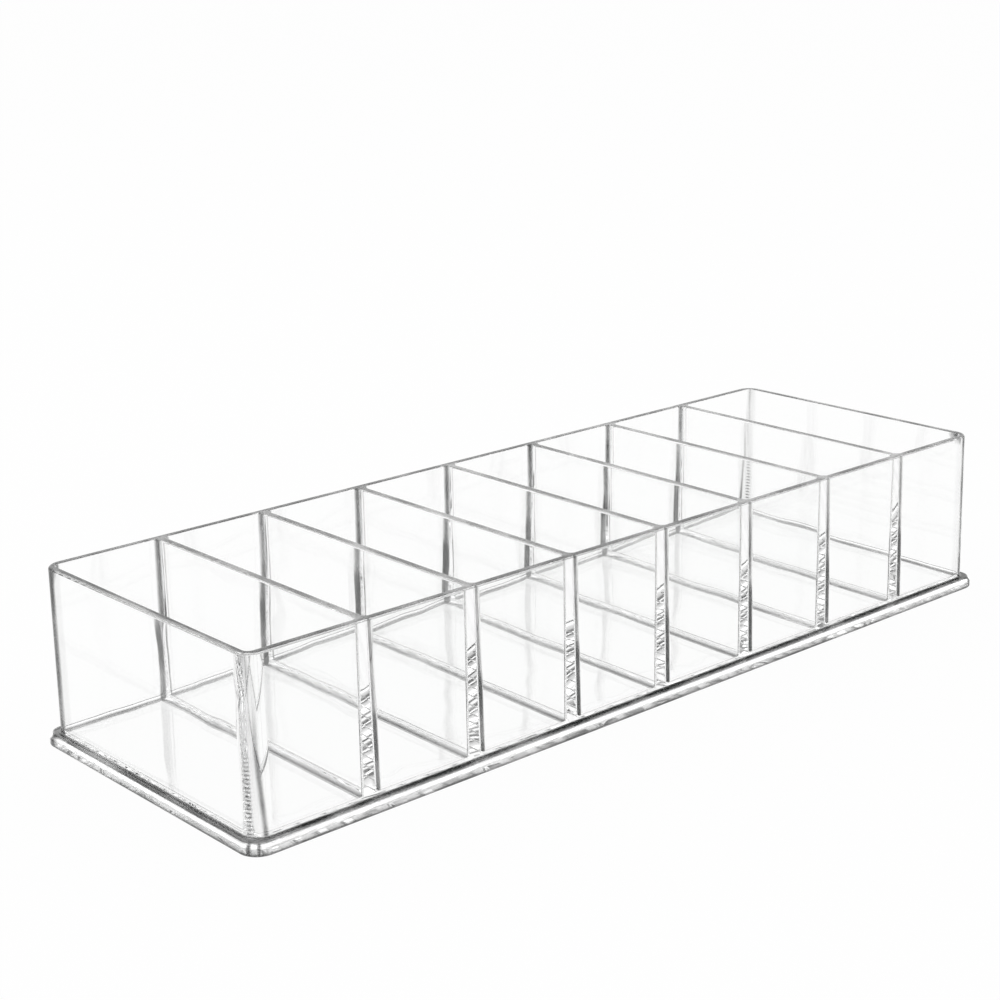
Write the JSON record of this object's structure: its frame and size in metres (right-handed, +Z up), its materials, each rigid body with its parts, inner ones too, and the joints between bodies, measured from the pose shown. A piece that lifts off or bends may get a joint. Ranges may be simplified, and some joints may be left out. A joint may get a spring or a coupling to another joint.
{
  "type": "vanity organizer",
  "caption": "Clear open-topped vanity organizer: a long tray of equal upright compartments in one row, with fixed dividers, standing on a base with a rounded flange.",
  "frame": {"origin": "middle of the underside", "axes": "+X along the row of compartments, +Y from front to back, +Z up"},
  "size_m": [0.235, 0.0826, 0.0418],
  "materials": {
    "clear_plastic": "clear, glossy, with rounded edges"
  },
  "bodies": {
    "root": {"base_tray": "clear_plastic", "wall_frame": "clear_plastic", "divider_1": "clear_plastic", "divider_2": "clear_plastic", "divider_3": "clear_plastic", "divider_4": "clear_plastic", "divider_5": "clear_plastic", "divider_6": "clear_plastic", "divider_7": "clear_plastic"}
  },
  "joints": []
}
